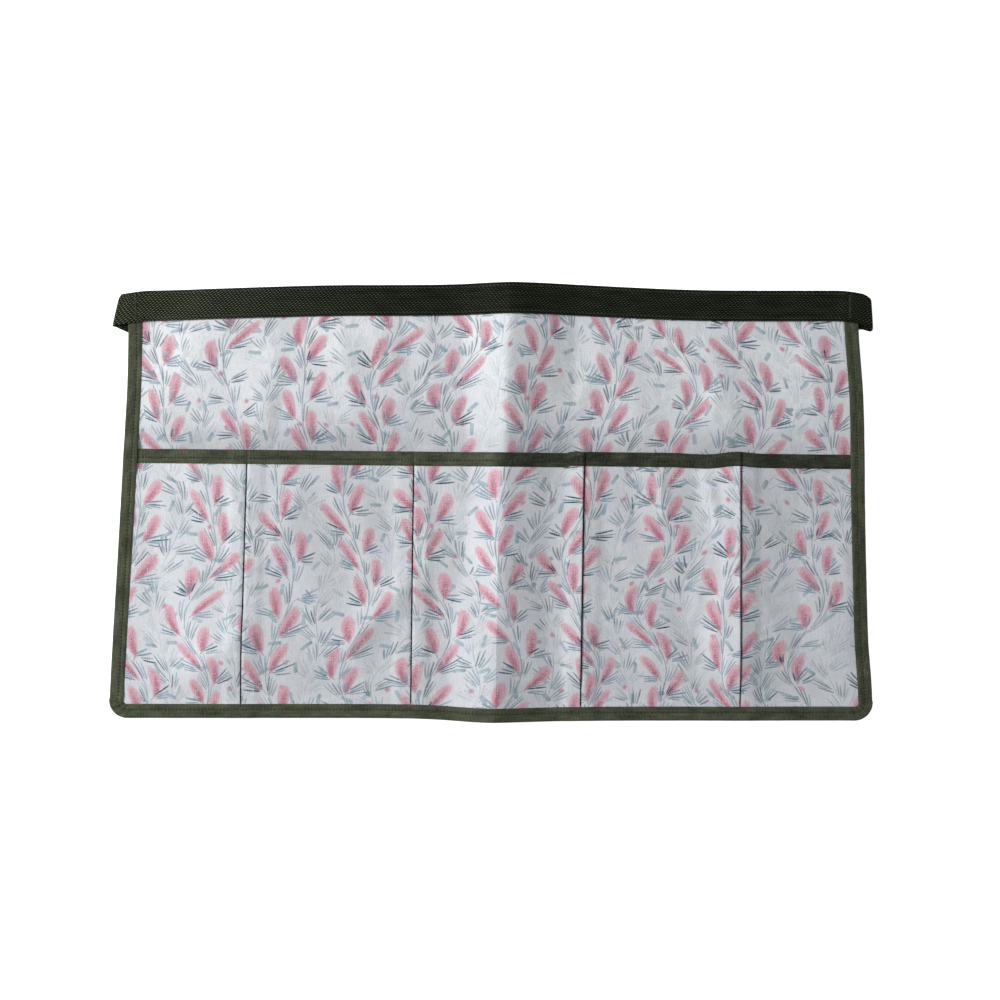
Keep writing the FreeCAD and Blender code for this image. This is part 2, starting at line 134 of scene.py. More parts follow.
def settle(x, y):
    """Where a point of the flat pattern lies: the belt and the hem bow, and the sides wander."""
    up = height_share(y)
    left = 1.9 * hill(y, 100, 40) - 2.6 * smooth((30 - y) / 200)
    right = 1.1 * hill(y, 60, 45) - 1.8 * smooth((y - 90) / 60) + 2.2 * smooth((-100 - y) / 55)
    share = (x / HALF_BOTTOM + 1) / 2
    return x - 1.2 + 2.55 * up + mix(left, right, share), y + mix(-hem_drop(x), belt_rise(x), up)


def hem_line(x):
    return settle(x, -HALF_HEIGHT)[1]


def mouth_line(x):
    """The pockets' upper edge: it falls to the right, with a step and a wave at the last dividers."""
    step = 1.1 * smooth((x - DIVIDERS[2] + 13) / 3)
    return MOUTH - 0.0105 * x + step + 1.5 * hill(x, 199, 9) - 1.0 * hill(x, 174, 12)


def panel_side(side, y):
    """The panel's outer edge as it lies, on the left for side -1 and on the right for 1."""
    return settle(side * side_line(y), y)[0]


# How far each divider is moved aside: (at the mouth, at the hem).
LEANS = ((2.5, -4), (1.1, -1.7), (1.4, -2), (-0.5, -0.5))


def divider_line(number, y):
    """Where a divider is at the height y: each leans a little."""
    top, bottom = LEANS[number - 1]
    return DIVIDERS[number - 1] + mix(bottom, top, (y + HALF_HEIGHT) / (MOUTH + HALF_HEIGHT))


def crest(x, top, left, right):
    """A fold's cross-section: straight flanks of these widths that meet at a slightly soft top."""
    soft = 0.05
    away = np.where(x < top, (top - x) / left, (x - top) / right)
    away = np.sqrt(away**2 + soft**2) - soft
    return np.clip(1 - away, 0, 1) ** 1.15


def crease(x, y, start, end, width):
    """A soft wrinkle from start to end that fades out at both."""
    start, end = np.array(start, float), np.array(end, float)
    length = np.hypot(*(end - start))
    way = (end - start) / length
    along = (x - start[0]) * way[0] + (y - start[1]) * way[1]
    across = (y - start[1]) * way[0] - (x - start[0]) * way[1]
    fade = smooth(along / length * 3) * smooth((length - along) / length * 3)
    return fade * np.exp(-np.abs(across / width) ** 1.6)


# Wrinkles of the whole apron: (start, end, width, height).
WRINKLES = (
    ((-129, -132), (-56, -50), 14, 4.2),
    ((-178, 156), (-186, 34), 17, 1.8),
    ((-264, -156), (-184, -92), 19, 3.0),
    ((-286, 84), (-236, 44), 13, 1.3),
    ((-290, 12), (-252, -8), 9, 1.2),
    ((-62, -150), (-46, 20), 9, 1.2),
    ((90, -50), (146, -150), 14, 1.7),
    ((116, 20), (160, -96), 14, 1.6),
    ((96, 140), (128, 52), 13, 1.7),
    ((170, 156), (204, 40), 17, 3.0),
    ((250, 150), (276, 46), 14, 1.7),
    ((238, -20), (290, -150), 17, 1.9),
    ((60, 52), (96, 148), 12, 1.4),
    ((288, 0), (294, -156), 22, 2.4),
    ((136, 38), (142, -24), 5, 1.2),
    ((172, 34), (190, -44), 5.5, 1.5),
    ((170, -48), (163, -112), 5, 1.2),
    ((190, -62), (179, -134), 6, 1.2),
    ((54, 4), (64, -62), 6, 0.9),
    ((140, 152), (170, 96), 7, 1.3),
    ((176, 62), (187, 104), 6, 1.0),
    ((-200, -20), (-222, 24), 5, 0.9),
    ((-190, -60), (-150, 26), 12, 1.3),
    ((-110, 40), (-126, 150), 15, 1.8),
)
# Long low waves: (rate, direction, phase, height).
random = np.random.default_rng(11)
RIPPLES = [
    (2 * math.pi / random.uniform(34, 110), random.uniform(0, math.pi), random.uniform(0, 6), h)
    for h in (0.24, 0.24, 0.22, 0.2, 0.18, 0.16, 0.14, 0.12)
]
# The fold down the middle: its height, where its top is at the hem and at the belt, how wide its two
# flanks are, and how much narrower the left one is near the mouths.
RIDGE_HEIGHT, RIDGE_HEM, RIDGE_BELT = 10.4, 1, 16
RIDGE_LEFT, RIDGE_RIGHT, RIDGE_STEEPER = 38, 52, 11


def folds(x, y):
    """How far the folds and wrinkles lift the cloth, which is less near its sides."""
    up = height_share(y)
    left = RIDGE_LEFT - RIDGE_STEEPER * hill(y, MOUTH - 40, 60)
    lift = RIDGE_HEIGHT * crest(x, mix(RIDGE_HEM, RIDGE_BELT, up), left, RIDGE_RIGHT)
    for start, end, width, height in WRINKLES:
        lift = lift + height * crease(x, y, start, end, width)
    for rate, way, phase, height in RIPPLES:
        turn = rate * (x * math.cos(way) + y * math.sin(way)) + phase
        lift = lift + height * (1 + np.sin(turn + 0.8 * np.sin(turn / 2.7))) / 2
    edge = np.minimum(np.abs(x - panel_side(-1, y)), np.abs(panel_side(1, y) - x))
    return lift * smooth((edge + 12) / 30)


# ---------------------------------------- the straps' own frames
class Strap:
    """A waist strap's place, as distances along it from the belt's fold and across it. Its tail is
    turned back round the buckle's bar, and hem is the length of the box of stitches at its end. The
    strap leaves its fold drop lower than the belt. The fold's upper corner is rounded off, and its
    lower one hangs droop too low."""

    def __init__(self, side, fold, swing, tail, hem, drop, rounding, droop):
        self.side = side
        self.outward = -1 if side == "left" else 1
        self.tail, self.hem = tail, hem
        self.drop, self.rounding, self.droop = drop, rounding, droop
        self.origin, self.axis = joint(fold)
        bar = joint(swing)[0]
        self.length = np.hypot(*(bar - self.origin)[:2])
        self.along = (bar - self.origin)[:2] / self.length
        self.across = np.array([-self.along[1], self.along[0]])
        self.body = f"strap_{side}"

    def inside(self, x, y):
        away = np.array([x - self.origin[0], y - self.origin[1]])
        return np.tensordot(self.along, away, 1), np.tensordot(self.across, away, 1)


left_strap = Strap("left", "left_strap_fold", "socket_swing",
                   tail=28, hem=8, drop=1.2, rounding=1.2, droop=0.7)
right_strap = Strap("right", "right_strap_fold", "plug_swing",
                    tail=150, hem=5, drop=3.4, rounding=5.5, droop=2.6)
STRAP_LOW = box("right_strap")[0][2]
BAR_LEVEL = (box("right_strap")[1][2] + STRAP_LOW) / 2
BUCKLE_TOP = box("buckle_socket")[1][2]
KEEPER_TOP = box("strap_keeper")[1][2]


def hardware_lift(x, y):
    """How far the buckle, the keeper and the doubled strap push the panel up."""
    usual = TAPE + CLIMB
    left, right = left_strap.length, right_strap.length
    # (strap, start and end along it, half width, height, reach of the slope round it)
    lumps = (
        (left_strap, left - 18, left + 41, 17.5, BUCKLE_TOP + 0.7 - usual, 52),
        (right_strap, right - 18, right + 47, 17.5, BUCKLE_TOP + 0.7 - usual, 52),
        (right_strap, right - 53, right - 37, 16.5, KEEPER_TOP + 0.5 - usual, 40),
        (right_strap, right - 152, right, 13.5, 1.8, 36),
    )
    lift = np.zeros(np.shape(x))
    for strap, start, end, half, height, spread in lumps:
        along, across = strap.inside(x, y)
        out = np.hypot(np.maximum(np.maximum(start - along, along - end), 0),
                       np.maximum(np.abs(across) - half, 0))
        lift = np.maximum(lift, height * (1 - smooth(out / spread)))
    return lift


def panel_floor(x, y):
    """The underside of the panel, which climbs over the straps behind its upper part."""
    climb = CLIMB * smooth((y - mouth_line(x) + 2) / 24)
    return TAPE + climb + folds(x, y) + hardware_lift(x, y)


def panel_top(x, y):
    return panel_floor(x, y) + CANVAS


# ---------------------------------------- meshes
def finish_mesh(name, points, faces, uv, material, sharp=50):
    """A piece from its points in millimetres, smooth but for edges over sharp degrees."""
    mesh = bpy.data.meshes.new(name)
    mesh.from_pydata((points * MM).tolist(), [], faces)
    layer = mesh.uv_layers.new(name="cloth")
    corners = np.zeros(len(mesh.loops), int)
    mesh.loops.foreach_get("vertex_index", corners)
    layer.data.foreach_set("uv", (uv[corners] * MM).astype(np.float32).ravel())
    form = bmesh.new()
    form.from_mesh(mesh)
    bmesh.ops.recalc_face_normals(form, faces=form.faces)
    form.to_mesh(mesh)
    form.free()
    mesh.shade_smooth()
    mesh.set_sharp_from_angle(angle=math.radians(sharp))
    mesh.materials.append(material)
    piece = bpy.data.objects.new(name, mesh)
    bpy.context.scene.collection.objects.link(piece)
    return piece


def solid(name, outer, inner, uv, material):
    """A closed thin solid between two grids of points with the same rows and columns."""
    rows, columns = outer.shape[:2]
    count = rows * columns
    index = np.arange(count).reshape(rows, columns)
    a, b, c, d = index[:-1, :-1], index[:-1, 1:], index[1:, 1:], index[1:, :-1]
    quads = np.stack([a, b, c, d], -1).reshape(-1, 4)
    rim = np.concatenate([index[0, :-1], index[:-1, -1], index[-1, :0:-1], index[:0:-1, 0]])
    ahead = np.roll(rim, -1)
    walls = np.stack([rim, rim + count, ahead + count, ahead], -1)
    faces = np.concatenate([quads, quads[:, ::-1] + count, walls]).tolist()
    points = np.concatenate([outer.reshape(-1, 3), inner.reshape(-1, 3)])
    flat = np.concatenate([uv.reshape(-1, 2)] * 2)
    return finish_mesh(name, points, faces, flat, material)


def stacked(*parts):
    """Arrays and numbers, spread to one shape, as one array's last axis."""
    return np.stack(np.broadcast_arrays(*parts), -1)


def layer(name, x, y, top, bottom, uv, material):
    """A closed thin solid over the places (x, y), between two heights."""
    return solid(name, stacked(x, y, top), stacked(x, y, bottom), uv, material)


def run_along(points):
    """The distance along a route from its first point to each of its points."""
    steps = np.linalg.norm(np.diff(points, axis=0), axis=1)
    return np.concatenate([[0], np.cumsum(steps)])


def stitches(name, routes, material, width=THREAD_WIDTH, pitch=STITCH_PITCH, length=STITCH_LENGTH):
    """Short threads laid end to end with small gaps along each route of points."""
    # (place along the thread, share of its width, rise)
    rings = ((0.0, 0.3, -0.3), (0.12, 0.8, 0.05), (0.5, 1.0, 0.2), (0.88, 0.8, 0.05), (1.0, 0.3, -0.3))
    sides = 6
    angles = np.arange(sides) * 2 * math.pi / sides
    points, faces, base = [], [], 0
    for route in routes:
        run = run_along(route[:, :2])
        for start in np.arange(0, run[-1] - length, pitch):
            span = np.array([start, start + length])
            ends = np.stack([np.interp(span, run, route[:, k]) for k in range(3)], -1)
            way = (ends[1] - ends[0]) / np.linalg.norm(ends[1] - ends[0])
            aside = np.cross(way, (0, 0, 1))
            aside = aside / np.linalg.norm(aside)
            up = np.cross(aside, way)
            for share, girth, rise in rings:
                middle = mix(ends[0], ends[1], share) + up * rise
                for angle in angles:
                    out = aside * math.cos(angle) + up * math.sin(angle) * 0.7
                    points.append(middle + out * girth * width / 2)
            for ring in range(len(rings) - 1):
                for k in range(sides):
                    here, there = base + ring * sides + k, base + ring * sides + (k + 1) % sides
                    faces.append((here, there, there + sides, here + sides))
            faces.append(tuple(base + k for k in reversed(range(sides))))
            last = base + (len(rings) - 1) * sides
            faces.append(tuple(last + k for k in range(sides)))
            base += len(rings) * sides
    points = np.array(points)
    return finish_mesh(name, points, faces, points[:, :2], material, sharp=80)


# ---------------------------------------- shader fields
class Field:
    """A number that varies over a surface, worked out by a material's own nodes."""

    def __init__(self, tree, socket):
        self.tree, self.socket = tree, socket

    def use(self, operation, *others):
        node = add_node(self.tree, "Math", self, *others)
        node.operation = operation
        return Field(self.tree, node.outputs[0])

    __add__ = __radd__ = functools.partialmethod(use, "ADD")
    __sub__ = functools.partialmethod(use, "SUBTRACT")
    __mul__ = functools.partialmethod(use, "MULTIPLY")
    __truediv__ = functools.partialmethod(use, "DIVIDE")
    floor = functools.partialmethod(use, "FLOOR")
    part = functools.partialmethod(use, "FRACT")
    sine = functools.partialmethod(use, "SINE")
    size = functools.partialmethod(use, "ABSOLUTE")

    def __rsub__(self, other):
        return self * -1.0 + other

    def ease(self, start, end):
        """0 at start and 1 at end, smoothly; start may be the larger."""
        low, high, flip = min(start, end), max(start, end), start > end
        node = add_node(self.tree, "MapRange", self, low, high, float(flip), float(not flip))
        node.interpolation_type = "SMOOTHSTEP"
        return Field(self.tree, node.outputs["Result"])

    def length_with(self, other):
        return (self * self + other * other).use("SQRT")


def add_node(tree, kind, *values):
    """A shader node whose inputs, in order, are joined to fields or set to plain numbers."""
    node = tree.nodes.new(f"ShaderNode{kind}")
    for socket, value in zip(node.inputs, values):
        if isinstance(value, Field):
            tree.links.new(value.socket, socket)
        else:
            socket.default_value = value
    return node


class Finish:
    """A material that is being built: its fields, its colour and its bump."""

    def __init__(self, name, roughness, sheen=0.0, specular=0.25):
        self.material = bpy.data.materials.new(name)
        self.material.use_nodes = True
        self.tree = self.material.node_tree
        self.shader = self.tree.nodes["Principled BSDF"]
        self.shader.inputs["Roughness"].default_value = roughness
        self.shader.inputs["Sheen Weight"].default_value = sheen
        self.shader.inputs["Sheen Roughness"].default_value = 0.5
        self.shader.inputs["Specular IOR Level"].default_value = specular

    def field(self, socket):
        return Field(self.tree, socket)

    def place(self, node, output, count):
        """The first two or all three coordinates that a node gives, in millimetres."""
        split = add_node(self.tree, "SeparateXYZ")
        self.tree.links.new(node.outputs[output], split.inputs[0])
        return [self.field(split.outputs[k]) * (1 / MM) for k in range(count)]

    def cloth_place(self):
        """Where on the flat cloth a point is."""
        node = add_node(self.tree, "UVMap")
        node.uv_map = "cloth"
        return self.place(node, "UV", 2)

    def space_place(self, count):
        """Where in the piece's own space a point is."""
        return self.place(add_node(self.tree, "TexCoord"), "Object", count)

    def vector(self, *fields):
        return add_node(self.tree, "CombineXYZ", *fields).outputs[0]

    def chance(self, *fields):
        """Three random numbers from 0 to 1 that depend only on the fields."""
        node = add_node(self.tree, "TexWhiteNoise")
        node.noise_dimensions = "3D"
        self.tree.links.new(self.vector(*fields), node.inputs["Vector"])
        split = add_node(self.tree, "SeparateColor")
        self.tree.links.new(node.outputs["Color"], split.inputs[0])
        return [self.field(split.outputs[k]) for k in range(3)]

    def noise(self, *fields, detail=1.0):
        node = add_node(self.tree, "TexNoise")
        node.noise_dimensions = "2D" if len(fields) == 2 else "3D"
        node.inputs["Scale"].default_value = 1.0
        node.inputs["Detail"].default_value = detail
        self.tree.links.new(self.vector(*fields), node.inputs["Vector"])
        return self.field(node.outputs[0])

    def blend(self, under, over, share):
        """One colour over another; each is a linear RGB triple or a socket."""
        node = add_node(self.tree, "Mix")
        node.data_type = "RGBA"
        colours = [s for s in node.inputs if s.type == "RGBA"]
        for socket, value in zip(colours, (under, over)):
            if isinstance(value, tuple):
                socket.default_value = (*value, 1.0)
            else:
                self.tree.links.new(value, socket)
        self.tree.links.new(share.socket, node.inputs[0])
        return next(s for s in node.outputs if s.type == "RGBA")

    def colour(self, socket):
        self.tree.links.new(socket, self.shader.inputs["Base Color"])

    def bump(self, height, distance):
        """height runs from 0 to 1 and distance is its full depth in millimetres."""
        node = add_node(self.tree, "Bump")
        node.inputs["Distance"].default_value = distance * MM
        node.inputs["Strength"].default_value = 1.0
        self.tree.links.new(height.socket, node.inputs["Height"])
        self.tree.links.new(node.outputs[0], self.shader.inputs["Normal"])


def shade(code):
    """The linear colour of a six-digit web colour."""
    parts = (int(code[k:k + 2], 16) / 255 for k in (0, 2, 4))
    return tuple(p / 12.92 if p <= 0.04045 else ((p + 0.055) / 1.055) ** 2.4 for p in parts)


# ---------------------------------------- the printed canvas
def turned(x, y, lean):
    """The same place along axes that lean from y towards x: (across, along)."""
    sine, cosine = lean.sine(), lean.use("COSINE")
    return x * cosine - y * sine, x * sine + y * cosine


def flower(finish, colour, x, y, lean, fuzz, present):
    """A fuzzy oval flower head on the foot (0, 0), leaning from the y axis towards x."""
    half_length = 12.0
    across, along = turned(x, y, lean)
    along = along - half_length
    off = across.size() / (along * 0.09 + 4.5)
    r = (along.size() / half_length).use("POWER", 2.1) + off.use("POWER", 2.2) + (fuzz - 0.5) * 0.8
    streak = ((across - 0.7) / 3.6).size().ease(1.0, 0.1) * along.ease(15.0, -5.0)
    core = streak * (0.4 + fuzz) + (fuzz - 0.5) * 1.4
    pink = finish.blend(shade("d9acb8"), shade("b1667c"), core)
    return finish.blend(colour, pink, r.ease(1.35, 0.65) * present * 0.95)


# Brush strokes: the angle between two of them, and how far behind the foot their lines meet.
SPREAD = 0.135
STALK = 7.0


def fan(finish, colour, x, y, lean, key, shown, count, longest=17.0):
    """Brush strokes that spread from the foot (0, 0), leaning from the y axis towards x."""
    across, along = turned(x, y, lean)
    reached = across.length_with(along + STALK)
    place = across.use("ARCTAN2", along + STALK) / SPREAD + reached * 0.03 - 0.4
    number = place.floor()
    reach, ink, start = finish.chance(number + 40.0, key, key * 3.0)
    gap = (place - number - 0.3 - start * 0.4).size() * reached * SPREAD
    share = (reached - STALK - 0.5 - start * 4.0) / ((reach * 0.4 + 0.6) * longest)
    taper = (share * (1.0 - share) * 4.0).use("MAXIMUM", 0.0).use("POWER", 0.4)
    stroke = (gap - taper * 0.6).ease(0.3, -0.25) * taper.use("GREATER_THAN", 0.05)
    inside = (number + 0.5).size().use("LESS_THAN", count / 2)
    tint = finish.blend(shade("9bb0bc"), shade("2f4c5e"), ink * ink * ink + (1.0 - share) * 0.3)
    return finish.blend(colour, tint, stroke * inside * shown)


# The vines: how far apart they are, and the height after which each bears a new flower on a side.
COLUMN, STEP = 60.0, 30.0


def vine_place(finish, u, v, seed):
    """The column of a vine, the distance from its stem and the height along it."""
    column = (u / COLUMN).floor()
    height = v + finish.chance(column, seed + 0.5, 3.0)[0] * 97.0 + 500.0
    x = u - (column + 0.5) * COLUMN + (height * 0.065 + column * 2.0).sine() * 4.5
    side = x.use("GREATER_THAN", 0.0)
    raised = height + side * (STEP / 2)
    row = (raised / STEP).floor()
    return x.size(), raised - row * STEP, column * 2.0 + side, row


def bare_vine(finish, colour, u, v, seed):
    """A vine without flowers, in places hardly darker than the cloth."""
    x, y, flank, row = vine_place(finish, u, v, seed)
    tone = finish.noise(u * 0.02, v * 0.03).ease(0.4, 0.6) * 0.6 + 0.2
    one, two, three = finish.chance(flank, row, seed)
    colour = finish.blend(colour, shade("8398a3"), x.ease(0.7, 0.15) * tone * 0.6)
    colour = fan(finish, colour, x - 1.0, y - 2.0, one * 0.5 + 0.75, flank + row * 3.0, tone, 5)
    return fan(finish, colour, x, y - 10.0 - two * 4.0, three * 0.4 + 0.3, flank + row * 5.0, tone, 5)


def vine(finish, colour, u, v, fuzz, seed):
    """A vine: a flower and fans of strokes on its stem, by turns left and right."""
    x, y, flank, row = vine_place(finish, u, v, seed)
    one, two, three = finish.chance(flank, row, seed)
    four, five, six = finish.chance(flank, row, seed + 50.0)
    colour = finish.blend(colour, shade("6d8492"), x.ease(0.7, 0.15) * 0.6)
    foot_x, foot_y = two * 5.0 + 2.0, one * 3.0 + 1.5
    branch = (y - foot_y) / 6.0 + 1.0
    twig = (x - foot_x * branch).size().ease(0.7, 0.1) * branch.ease(0.0, 0.1) * branch.ease(1.1, 1.0)
    colour = finish.blend(colour, shade("6d8492"), twig * 0.7)
    colour = fan(finish, colour, x, y - foot_y - 10.0, five * 0.35 + 0.2, flank + row * 7.0, 0.75, 4)
    x, y = x - foot_x, y - foot_y
    lean = three * 0.55 + 0.15
    shown = six.use("GREATER_THAN", 0.06)
    colour = flower(finish, colour, x, y, lean, fuzz, shown)
    colour = fan(finish, colour, x, y, four * 0.3 + lean + 0.82, flank + row * 3.0, 1.0, 5)
    over = six.use("GREATER_THAN", 0.6)
    return fan(finish, colour, x + 0.8, y, lean - 0.05, flank + row * 5.0, over, 2, longest=8.5)


def scattered(finish, colour, u, v):
    """Single soft leaves and small fuzzy dots between the sprigs."""
    cell = 22.0
    column, row = (u / cell).floor(), (v / cell).floor()
    one, two, three = finish.chance(column, row, 41.0)
    x = u - (column + 0.32 + one * 0.36) * cell
    y = v - (row + 0.32 + two * 0.36) * cell
    across, along = turned(x, y, three * 3.1)
    beyond = (along.size() - 3.4).use("MAXIMUM", 0.0)
    leaf = beyond.length_with(across).ease(1.95, 1.0)
    tint = finish.blend(shade("a6b8c1"), shade("839aa6"), along.ease(-2.0, 5.0) * one)
    colour = finish.blend(colour, tint, leaf * two.ease(0.1, 0.3) * 0.95)
    x, y = u - (column + 0.12) * cell, v - (row + 0.1 + three * 0.8) * cell
    dot = x.length_with(y).ease(2.9, 0.9) * three.use("GREATER_THAN", 0.8)
    return finish.blend(colour, shade("cb7a93"), dot * 0.8)


def canvas_finish():
    """Slubbed canvas with a bluish white ground, printed with vines of pink flower heads."""
    finish = Finish("printed_canvas", roughness=0.85, sheen=0.1)
    u, v = finish.cloth_place()
    u_bent = u + (v / 28.0 + u / 95.0).sine() * 10.0 + (v / 13.0 - u / 70.0).sine() * 3.0
    v_bent = v + (u / 26.0 - v / 61.0).sine() * 4.0
    slow = finish.noise(u * 0.02, v * 0.02)
    fuzz = finish.noise(u * 0.9, v * 0.9, detail=2.0)
    threads_u = finish.noise(u * 0.12, v * 1.5)
    threads_v = finish.noise(u * 1.5, v * 0.12)
    crinkle = finish.noise(u * 0.16 + threads_u, v * 0.2, detail=3.0)
    ground = finish.blend(shade("dadde0"), shade("e7eaec"), slow)
    ground = finish.blend(ground, shade("bcc3c8"), (threads_u * threads_v).ease(0.18, 0.5) * 0.45)
    # painted shade: the pockets' cloth is drawn a little darker than the panel's upper part
    ground = finish.blend(ground, shade("c9ccd0"), v.ease(95.0, 30.0) * 0.5)
    colour = scattered(finish, ground, u_bent, v)
    colour = bare_vine(finish, colour, u_bent + COLUMN / 2, v_bent, 13.0)
    colour = vine(finish, colour, u_bent, v_bent, fuzz, 1.0)
    colour = finish.blend(colour, shade("f2f4f5"), (threads_u - threads_v).ease(0.06, 0.4) * 0.4)
    finish.colour(colour)
    weave = ((u * 7.4).sine() * (v * 7.4).sine()) * 0.12 + 0.5
    finish.bump(weave * 0.3 + (threads_u + threads_v) * 0.22 + crinkle * 0.8, 0.6)
    return finish.material


# ---------------------------------------- the other materials
def tape_finish(name, shadow):
    """Woven tape; shadow darkens what lies right of the middle fold."""
    finish = Finish(name, roughness=0.78, sheen=0.1, specular=0.15)
    u, v = finish.cloth_place()
    ribs = (u * 5.2).sine() * 0.5 + 0.5
    rows = (v * 5.6).sine() * 0.5 + 0.5
    slub = finish.noise(u * 1.1, v * 0.2)
    slub_across = finish.noise(u * 0.12, v * 1.1)
    slow = finish.noise(u * 0.05, v * 0.12)
    # painted shade: the shadow term darkens the tape right of the middle fold
    share = slow * 0.8 + slub * 0.6 + slub_across * 0.6 - 0.5 - u.ease(-4.0, 12.0) * shadow
    colour = finish.blend(shade("282c21"), shade("656a52"), share.use("MAXIMUM", 0.0))
    colour = finish.blend(colour, shade("20241a"), (ribs * rows).ease(0.2, 0.9) * 0.75)
    finish.colour(colour)
    finish.bump(ribs * 0.3 + rows * 0.3 + slub * 0.4, 0.3)
    return finish.material


def webbing_finish():
    """Twill webbing: slanted rows of short raised floats."""
    finish = Finish("webbing", roughness=0.75, specular=0.06)
    u, v = finish.cloth_place()
    pitch, row_height = 3.2, 1.4
    row = (v / row_height).floor()
    up = (v / row_height - row) - 0.5
    shade_row = finish.chance(row, 2.0, 5.0)[0]
    place = ((u - row * 2.1) / pitch - up * 0.5).part() - 0.5
    float_mask = (place * 1.1).length_with(up).ease(0.44, 0.12)
    slow = finish.noise(u * 0.05, v * 0.2)
    grain = finish.noise(u * 1.4, v * 1.4)
    # random slow tone, and painted light: the floats are drawn lighter towards the belt's left end,
    # nearer the lamp
    tone_and_painted_light = (slow - 0.5) * 0.4 + u.ease(-60.0, -270.0) * 0.67 - 0.02
    colour = finish.blend(shade("070905"), shade("10130b"), slow)
    colour = finish.blend(colour, shade("727b62"), float_mask * (tone_and_painted_light + grain * 0.7 + shade_row * 0.1))
    finish.colour(colour)
    finish.bump(float_mask * 0.8 + grain * 0.2, 0.6)
    return finish.material


def thread_finish():
    """Twisted olive thread."""
    finish = Finish("sewing_thread", roughness=0.6)
    x, y = finish.space_place(2)
    twist = ((x + y) * 9.0).sine() * 0.5 + 0.5
    grain = finish.noise(x * 1.2, y * 1.2)
    finish.colour(finish.blend(shade("23281d"), shade("454b38"), twist * 0.4 + grain * 0.5))
    finish.bump(twist, 0.08)
    return finish.material


def plastic_finish():
    """Moulded plastic with a fine grain."""
    finish = Finish("buckle_plastic", roughness=0.45)
    x, y, z = finish.space_place(3)
    grain = finish.noise(x * 2.5, y * 2.5, z * 2.5, detail=2.0)
    slow = finish.noise(x * 0.15, y * 0.15, z * 0.15)
    finish.colour(finish.blend(shade("14170f"), shade("23281c"), slow * 0.7 + grain * 0.3))
    rough = grain * 0.2 + 0.36
    finish.tree.links.new(rough.socket, finish.shader.inputs["Roughness"])
    finish.bump(grain, 0.06)
    return finish.material


printed = canvas_finish()
edge_taped = tape_finish("edge_tape", 0.0)
# the mouth tape is the edge tape with painted shade right of the middle fold
mouth_taped = tape_finish("mouth_tape", 0.34)
webbed = webbing_finish()
threaded = thread_finish()
moulded = plastic_finish()


def dressed(piece, body, slot, *nodes):
    """The piece rides on the body and stands for the nodes, which are hidden; slot is not used. In
    place of a body's name, (first body, second body, start, end) does not blend it: the piece only
    stays fixed where it stands."""
    if isinstance(body, str):
        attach(piece, body)
    else:
        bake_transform(piece)
    if nodes:
        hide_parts(*nodes)


def sewn(name, routes, body, *nodes, **form):
    """Rows of stitches along the routes, which ride on the body and stand for the nodes."""
    dressed(stitches(name, routes, threaded, **form), body, "thread", *nodes)


# ---------------------------------------- the panel
def make_panel():
    """The panel's canvas, as far as it reaches into the binding."""
    inset = 5
    rows = np.linspace(inset - HALF_HEIGHT, HALF_HEIGHT - inset, 136)[:, None]
    share = np.linspace(-1, 1, 237)[None, :]
    flat_x = share * (side_line(rows) - inset)
    x, y = settle(flat_x, rows)
    low = panel_floor(x, y)
    panel = layer("canvas_panel", x, y, low + CANVAS, low, stacked(flat_x, rows), printed)
    dressed(panel, "root", "canvas_print", "back_panel")


# ---------------------------------------- tape folded over an edge
# How far the seam is from the folded edge, and the radius of the binding's lower corners.
SEAM_DEPTH = 7.0
CORNER = 15.0


def wrapped(name, edge, inward, cloth_top, thickness, width, along, material):
    """Tape folded over the edge of a cloth. edge and inward are (x, y) pairs of arrays, cloth_top
    gives the cloth's upper face, and thickness is the cloth's own under the tape."""
    radius = thickness / 2 + TAPE
    flap = np.linspace(width, radius, 15)
    nose = np.linspace(0.5, -0.5, 9)[1:-1] * math.pi
    back = np.linspace(radius, width, 7)
    depth = np.concatenate([flap, radius - radius * np.cos(nose), back])
    inner_depth = np.concatenate([flap, radius - thickness / 2 * np.cos(nose), back])
    high = np.concatenate([np.full(len(flap), 1.0), np.sin(nose), np.full(len(back), -1.0)])

    def place(depths, half):
        x = edge[0][:, None] + inward[0][:, None] * depths
        y = edge[1][:, None] + inward[1][:, None] * depths
        middle = cloth_top(x, y) - thickness / 2
        # the upper flap is drawn in at its seam and turned down at its edge
        seam = 0.3 * hill(depths, SEAM_DEPTH, 0.9) * (high >= 1)
        lip = 0.35 * smooth((depths - width + 1.2) / 1.2) * (high >= 1)
        return stacked(x, y, np.maximum(middle + half * high - seam - lip, CLOTH_GAP))

    across = np.concatenate([flap, -nose * radius, -back])
    uv = stacked(along[:, None], across)
    return solid(name, place(depth, radius), place(inner_depth, thickness / 2), uv, material)


def edge_route():
    """The apron's outer edge, down the left side, along the hem and up the right side."""
    under_belt, step, least_step = 8, 3.0, 0.4
    arc = np.linspace(0, math.pi / 2, 15)
    bottom = -HALF_HEIGHT
    left_y = np.arange(belt_low[1] + under_belt, bottom + CORNER, -step)
    hem_x = np.arange(CORNER - HALF_BOTTOM, HALF_BOTTOM - CORNER + 1, step)
    xs = np.concatenate([
        -side_line(left_y), CORNER - HALF_BOTTOM - CORNER * np.cos(arc), hem_x[1:-1],
        HALF_BOTTOM - CORNER + CORNER * np.sin(arc), side_line(left_y[::-1])])
    ys = np.concatenate([
        left_y, bottom + CORNER - CORNER * np.sin(arc), np.full(len(hem_x) - 2, bottom),
        bottom + CORNER - CORNER * np.cos(arc), left_y[::-1]])
    x, y = settle(xs, ys)
    keep = np.concatenate([[True], np.hypot(np.diff(x), np.diff(y)) > least_step])
    x, y = x[keep], y[keep]
    way = np.stack([np.gradient(x), np.gradient(y)])
    way = way / np.hypot(*way)
    return (x, y), (-way[1], way[0]), run_along(stacked(x, y))


# Above the mouths, what the edge binding covers thins out to the panel alone within this height.
MOUTH_FADE = 14


